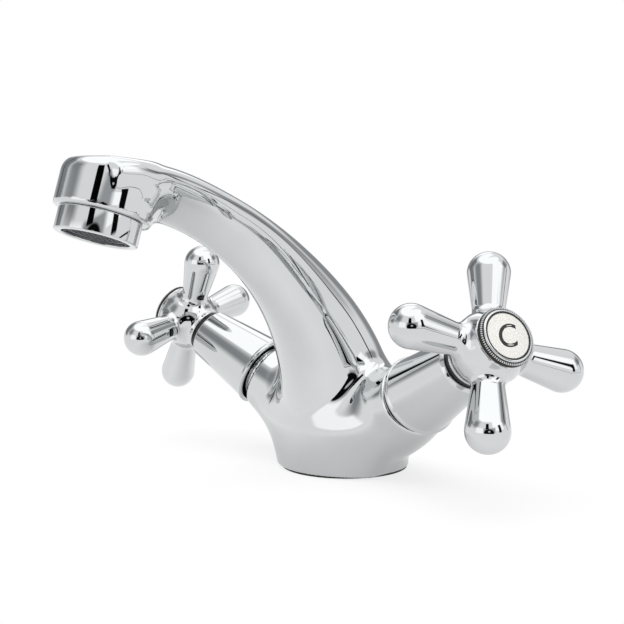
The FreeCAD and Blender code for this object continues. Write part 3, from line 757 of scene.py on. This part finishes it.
for (side, word), letter in zip(SIDES, "CH"):
    place = handle_place(side, CLOSED_TURN[word])
    plate = lathed(word + "_index_disc", PLATE_LINE, acrylic, place, bevel=0.12)
    edge = lathed(word + "_index_line", PRINTED_LINE, ink, place, bevel=0.04)
    mark = printed_letter(word + "_index_letter", letter, handle_place(side))
    for thing in (plate, edge, mark):
        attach(thing, word + "_handle_group")
    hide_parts(word + "_index_plate")


# --------------------------------------------------------------- studio
# A pale floor that shows as white in a white studio, with soft lamps at a plain level.
# Cards that only mirrors see stand far round the tap, as round a polished piece on a set.

MIDDLE = np.array([0.0, -45.0, 60.0])


def card_light(name, shade, strength, soft, disc):
    """A card's light, which fades at its four edges or, for a disc, round about."""
    material = bpy.data.materials.new(name)
    material.use_nodes = True
    tree = material.node_tree
    tree.nodes.clear()
    light = add_node(tree, "ShaderNodeEmission", sockets={"Color": linear(shade), "Strength": strength})
    spot = add_node(tree, "ShaderNodeUVMap", {"uv_map": "card"})
    if disc:
        out = add_node(tree, "ShaderNodeVectorMath", {"operation": "DISTANCE"}, {
            0: spot.outputs["UV"], 1: (0.5, 0.5, 0.0)})
        distances = [out.outputs["Value"]]
    else:
        split = add_node(tree, "ShaderNodeSeparateXYZ", sockets={0: spot.outputs["UV"]})
        distances = []
        for axis in (0, 1):
            off = add_node(tree, "ShaderNodeMath", {"operation": "SUBTRACT"}, {
                0: split.outputs[axis], 1: 0.5})
            size = add_node(tree, "ShaderNodeMath", {"operation": "ABSOLUTE"}, {0: off.outputs[0]})
            distances.append(size.outputs[0])
    share = 1.0
    for distance in distances:
        fade = add_node(tree, "ShaderNodeMapRange", {"interpolation_type": "SMOOTHSTEP"}, {
            "Value": distance, "From Min": 0.5 - soft, "From Max": 0.5, "To Min": 1.0, "To Max": 0.0})
        share = add_node(tree, "ShaderNodeMath", {"operation": "MULTIPLY"}, {
            0: fade.outputs["Result"], 1: share}).outputs[0]
    clear = add_node(tree, "ShaderNodeBsdfTransparent")
    surface = add_node(tree, "ShaderNodeMixShader", sockets={
        0: share, 1: clear.outputs[0], 2: light.outputs["Emission"]})
    add_node(tree, "ShaderNodeOutputMaterial", sockets={"Surface": surface.outputs[0]})
    return material


def card(name, bearing, height, shade, strength, far, soft, slant=0.0, disc=False):
    """A card that mirrors alone see, between two bearings and two heights in degrees."""
    columns = max(int(abs(bearing[1] - bearing[0]) / 4), 2)
    rows = max(int(abs(height[1] - height[0]) / 4), 2)
    vertices, spots = [], []
    for row in range(rows + 1):
        for column in range(columns + 1):
            u, v = column / columns, row / rows
            turn = math.radians(bearing[0] + (bearing[1] - bearing[0]) * u + slant * v)
            rise = math.radians(height[0] + (height[1] - height[0]) * v)
            level = math.cos(rise)
            way = np.array([math.sin(turn) * level, -math.cos(turn) * level, math.sin(rise)])
            vertices.append(MIDDLE + far * way)
            spots.append((u, v))
    faces = [(r * (columns + 1) + c, r * (columns + 1) + c + 1, (r + 1) * (columns + 1) + c + 1,
              (r + 1) * (columns + 1) + c) for r in range(rows) for c in range(columns)]
    thing = piece(name, vertices, faces, card_light(name, shade, strength, soft, disc))
    layer = thing.data.uv_layers.new(name="card")
    for loop in thing.data.loops:
        layer.data[loop.index].uv = spots[loop.vertex_index]
    thing.visible_camera = thing.visible_diffuse = thing.visible_shadow = False
    thing.visible_transmission = thing.visible_volume_scatter = False


# Soft boxes, brighter than the white studio: they make the highlights on top of the forms.
card("box_above", (-180, 180), (52, 89.9), "#FFFFFF", 1.5, 3400, soft=0.06)
card("box_front", (62, 135), (24, 60), "#FFFFFF", 1.5, 3300, soft=0.12)
card("box_low_right", (78, 126), (8, 26), "#FFFFFF", 1.4, 3250, soft=0.1)
card("box_left", (-152, -118), (4, 50), "#FFFFFF", 1.5, 3300, soft=0.12)
card("box_low_front", (-24, 20), (-6, 24), "#FFFFFF", 1.35, 3300, soft=0.2)
# Grey walls of the room between the boxes.
card("wall_left", (-112, -52), (3, 50), "#8E9092", 1.0, 3200, soft=0.2)
card("wall_back", (122, 180), (14, 40), "#A3A5A7", 1.0, 3200, soft=0.3)
card("wall_near_left", (-66, 0), (8, 58), "#96989B", 1.0, 3350, soft=0.4)
card("wall_near", (16, 80), (-3, 24), "#ACAEB0", 1.0, 3150, soft=0.15)
card("wall_behind", (-190, -92), (-6, 28), "#9A9C9E", 1.0, 3220, soft=0.2)
# Black flags and the stands that hold them, with the lighter opening that the lens looks through.
card("flag_tall", (28, 46), (17, 46), "#060607", 1.0, 3000, soft=0.08)
card("flag_camera", (19, 72), (-16, 20), "#0C0C0D", 1.0, 3050, soft=0.08, disc=True)
card("lens_opening", (40, 54), (2, 12), "#C4C6C8", 1.0, 2980, soft=0.2, disc=True)
card("flag_right", (94, 110), (-2, 33), "#0A0A0B", 1.0, 3000, soft=0.12)
card("table_edge", (60, 150), (-6.2, -4.8), "#161617", 1.0, 2900, soft=0.05)
card("stand_left", (-80, -76), (0, 50), "#1C1C1D", 1.0, 3000, soft=0.2, slant=-6)
card("stand_far", (146, 150), (-4, 46), "#1C1C1D", 1.0, 3000, soft=0.2)


def shown(tree):
    """The kind of ray that arrives, and 1 where it is the camera's, a mirror's or one through glass."""
    path = add_node(tree, "ShaderNodeLightPath")
    seen = path.outputs["Is Camera Ray"]
    for kind in ("Is Glossy Ray", "Is Transmission Ray"):
        seen = add_node(tree, "ShaderNodeMath", {"operation": "MAXIMUM"}, {
            0: seen, 1: path.outputs[kind]}).outputs[0]
    return path, seen


# The studio itself: white where it is seen, and a little dimmer where it lights the tap.
world = bpy.data.worlds.new("studio")
bpy.context.scene.world = world
world.use_nodes = True
tree = world.node_tree
tree.nodes.clear()
_, seen = shown(tree)
level = add_node(tree, "ShaderNodeMapRange", sockets={"Value": seen, "To Min": 0.75, "To Max": 1.0})
sky = add_node(tree, "ShaderNodeBackground", sockets={
    "Color": linear("#FFFFFF"), "Strength": level.outputs["Result"]})
add_node(tree, "ShaderNodeOutputWorld", sockets={"Surface": sky.outputs["Background"]})

# White paper: it shows as white, and only near the tap does it also take the tap's shadow.
paper_white = bpy.data.materials.new("white_paper")
paper_white.use_nodes = True
tree = paper_white.node_tree
tree.nodes.clear()
path, seen = shown(tree)
paper = add_node(tree, "ShaderNodeBsdfDiffuse", sockets={"Color": linear("#F4F4F4")})
bright = add_node(tree, "ShaderNodeEmission", sockets={"Color": linear("#FFFFFF")})
spot = add_node(tree, "ShaderNodeTexCoord")
away = add_node(tree, "ShaderNodeVectorMath", {"operation": "LENGTH"}, {0: spot.outputs["Object"]})
clean = add_node(tree, "ShaderNodeMapRange", {"interpolation_type": "SMOOTHSTEP"}, {
    "Value": away.outputs["Value"], "From Min": 0.03, "From Max": 0.2, "To Min": 0.72, "To Max": 1.0})
mostly = add_node(tree, "ShaderNodeMath", {"operation": "MULTIPLY"}, {0: seen, 1: clean.outputs["Result"]})
mixed = add_node(tree, "ShaderNodeMixShader", sockets={
    0: mostly.outputs[0], 1: paper.outputs[0], 2: bright.outputs[0]})
# In the chrome the floor near the tap shows darker, as its shadow makes it.
shadow = add_node(tree, "ShaderNodeMapRange", {"interpolation_type": "SMOOTHSTEP"}, {
    "Value": away.outputs["Value"], "From Min": 0.03, "From Max": 0.12, "To Min": -0.3, "To Max": 0.0})
glow = add_node(tree, "ShaderNodeMath", {"operation": "MULTIPLY_ADD"}, {
    0: shadow.outputs["Result"], 1: path.outputs["Is Glossy Ray"], 2: 1.0})
tree.links.new(glow.outputs[0], bright.inputs["Strength"])
add_node(tree, "ShaderNodeOutputMaterial", sockets={"Surface": mixed.outputs[0]})

FLOOR_RADIUS, FLOOR_SIDES = 560, 48
angles = [2 * math.pi * a / FLOOR_SIDES for a in range(FLOOR_SIDES)]
edge = [(FLOOR_RADIUS * math.cos(a), FLOOR_RADIUS * math.sin(a), 0) for a in angles]
floor = piece("floor", [(0, 0, 0)] + edge,
              [(0, a + 1, (a + 1) % FLOOR_SIDES + 1) for a in range(FLOOR_SIDES)], paper_white)

# The lens in millimetres, its bearing and height, and its focal length in pixels of the picture.
LENS_PLACE = np.array([294.66, -289.76, 92.08])
LENS_BEARING, LENS_HEIGHT = math.radians(47.26), math.radians(4.38)
FOCAL_PIXELS, PICTURE_PIXELS, SENSOR_WIDTH = 1058.75, 624, 36.0

flat = math.cos(LENS_HEIGHT)
view_back = Vector((math.sin(LENS_BEARING) * flat, -math.cos(LENS_BEARING) * flat, math.sin(LENS_HEIGHT)))
camera_data = bpy.data.cameras.new("camera")
camera_data.sensor_width = SENSOR_WIDTH
camera_data.lens = SENSOR_WIDTH * FOCAL_PIXELS / PICTURE_PIXELS
camera_data.clip_start, camera_data.clip_end = 0.01, 50.0
camera = bpy.data.objects.new("camera", camera_data)
camera.location = Vector(LENS_PLACE / 1000)
camera.rotation_mode = "QUATERNION"
camera.rotation_quaternion = (-view_back).to_track_quat("-Z", "Y")
bpy.context.scene.collection.objects.link(camera)
bpy.context.scene.camera = camera

# Two soft lamps, with places and sizes in metres and powers in watts. Mirrors don't see them.
LAMPS_AIM = Vector((0, -0.05, 0.05))
for name, spot, size, power in (("lamp_above", (0.1, -0.2, 1.2), 1.2, 9.0),
                                ("lamp_left", (-0.9, -0.9, 0.9), 0.9, 6.0)):
    lamp_data = bpy.data.lights.new(name, "AREA")
    lamp_data.size, lamp_data.energy = size, power
    lamp = bpy.data.objects.new(name, lamp_data)
    lamp.location = spot
    lamp.rotation_mode = "QUATERNION"
    lamp.rotation_quaternion = (LAMPS_AIM - Vector(spot)).to_track_quat("-Z", "Y")
    lamp.visible_glossy = False
    bpy.context.scene.collection.objects.link(lamp)

scene = bpy.context.scene
scene.view_settings.view_transform = "Standard"
